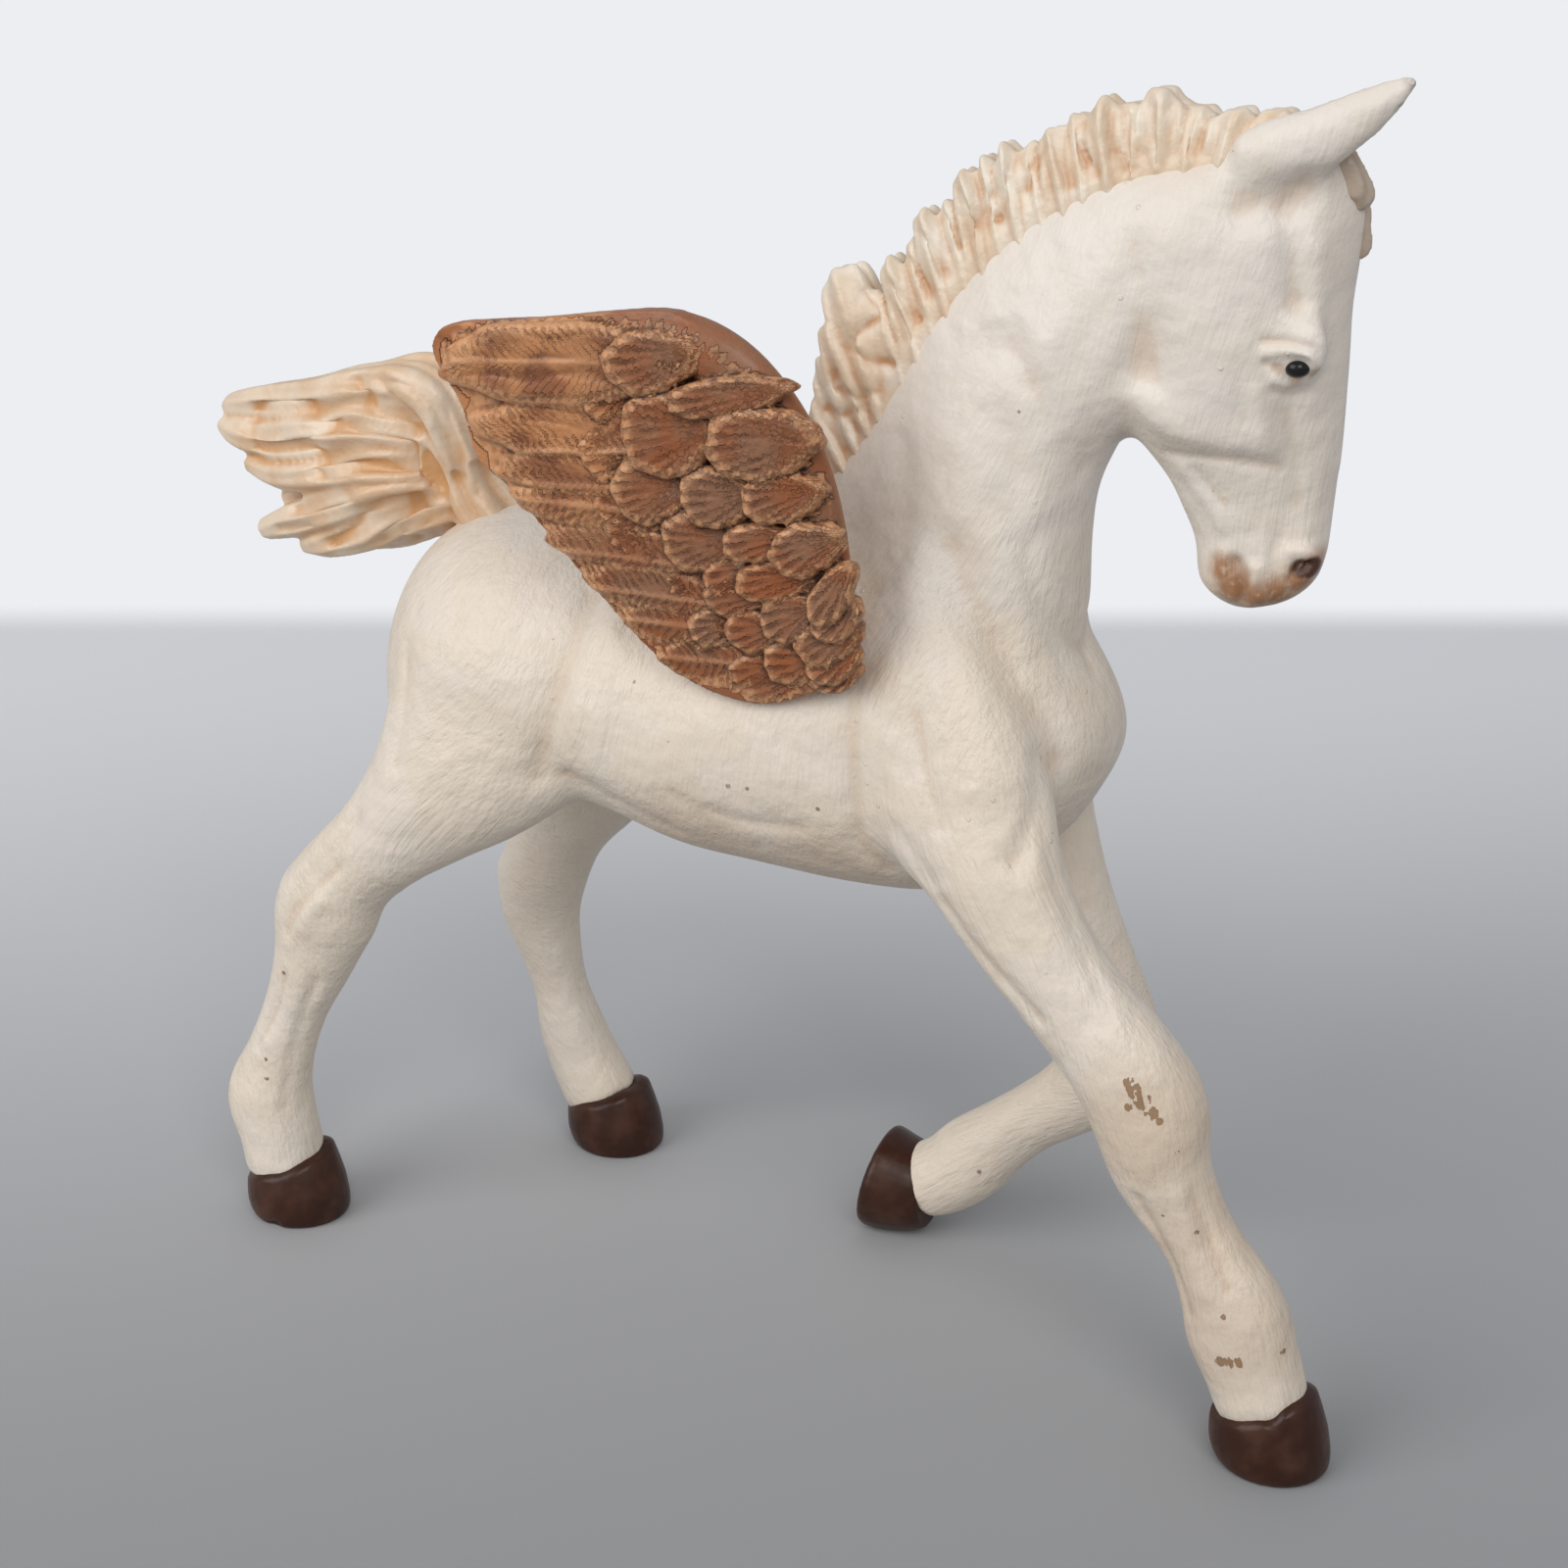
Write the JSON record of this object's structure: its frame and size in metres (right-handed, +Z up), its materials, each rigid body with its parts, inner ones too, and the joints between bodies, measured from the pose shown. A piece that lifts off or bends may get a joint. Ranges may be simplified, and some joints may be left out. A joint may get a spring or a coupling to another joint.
{
  "type": "pegasus figurine",
  "caption": "Small standing winged foal figurine in one moulded piece, with carved feathers, upright mane, forelock and swept tail.",
  "frame": {"origin": "centre of the bounding box in plan, at the level of the hoof soles", "axes": "+X forward to the head, +Y to the figure's left, +Z up"},
  "size_m": [0.0996, 0.0334, 0.0949],
  "materials": {
    "painted_body": "satin hand paint over solid plastic"
  },
  "bodies": {
    "root": {"figurine": "painted_body"}
  },
  "joints": []
}
